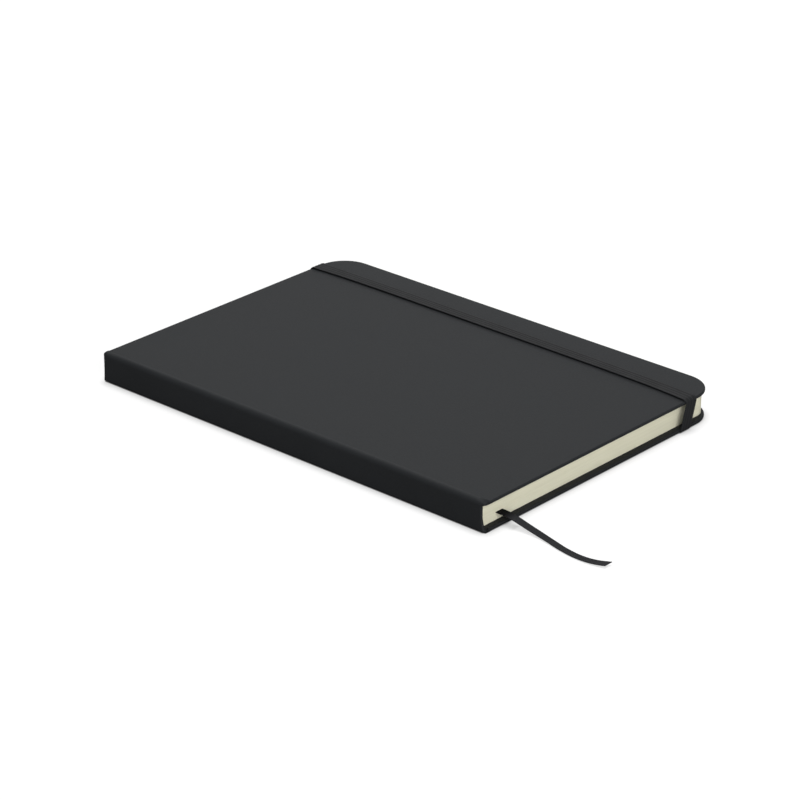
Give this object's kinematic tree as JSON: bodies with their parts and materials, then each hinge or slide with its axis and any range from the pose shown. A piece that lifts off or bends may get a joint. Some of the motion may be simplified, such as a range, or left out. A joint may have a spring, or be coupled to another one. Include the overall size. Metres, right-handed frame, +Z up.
{
  "type": "hardcover notebook",
  "caption": "Closed hard-covered A5 notebook with a flat spine, rounded fore corners, cream pages, an elastic closing band and a ribbon bookmark.",
  "frame": {"origin": "under the middle of the closed book, on the plane it rests on", "axes": "+X from the spine to the fore edge, +Y from the tail to the head, +Z up through the front cover"},
  "size_m": [0.148, 0.2625, 0.0139],
  "materials": {
    "charcoal_leatherette": "matte, fine grain",
    "cream_paper": "matte",
    "grey_board": "matte",
    "lining_cloth": "matte",
    "black_elastic": "woven, matte",
    "black_ribbon": "woven, slight sheen"
  },
  "bodies": {
    "book_block": {"page_block": "cream_paper", "spine_lining": "lining_cloth", "spine_board": "grey_board", "spine_cover": "charcoal_leatherette", "bookmark_ribbon": "black_ribbon"},
    "front_cover": {"front_board": "grey_board", "front_cover_wrap": "charcoal_leatherette", "front_endpaper": "cream_paper"},
    "back_cover": {"back_board": "grey_board", "back_cover_wrap": "charcoal_leatherette", "back_endpaper": "cream_paper", "band_ends": "black_elastic"},
    "elastic_band": {"elastic_band": "black_elastic"}
  },
  "joints": [
    {"name": "front_cover_hinge", "type": "hinge", "parent": "book_block", "child": "front_cover", "pos_m": [-0.0718, 0, 0.013], "axis": [0, -1, 0], "range_deg": [0, 180]},
    {"name": "back_cover_hinge", "type": "hinge", "parent": "book_block", "child": "back_cover", "pos_m": [-0.0718, 0, 0], "axis": [0, 1, 0], "range_deg": [0, 184], "deforming": ["elastic_band"]},
    {"name": "band_swing", "type": "hinge", "parent": "back_cover", "child": "elastic_band", "pos_m": [0.062, 0, 0], "axis": [0, 1, 0], "range_deg": [0, 90], "deforming": ["elastic_band"]}
  ],
  "couplings": [
    {"joint": "band_swing", "follows": "front_cover_hinge", "ratio": 0.5}
  ]
}
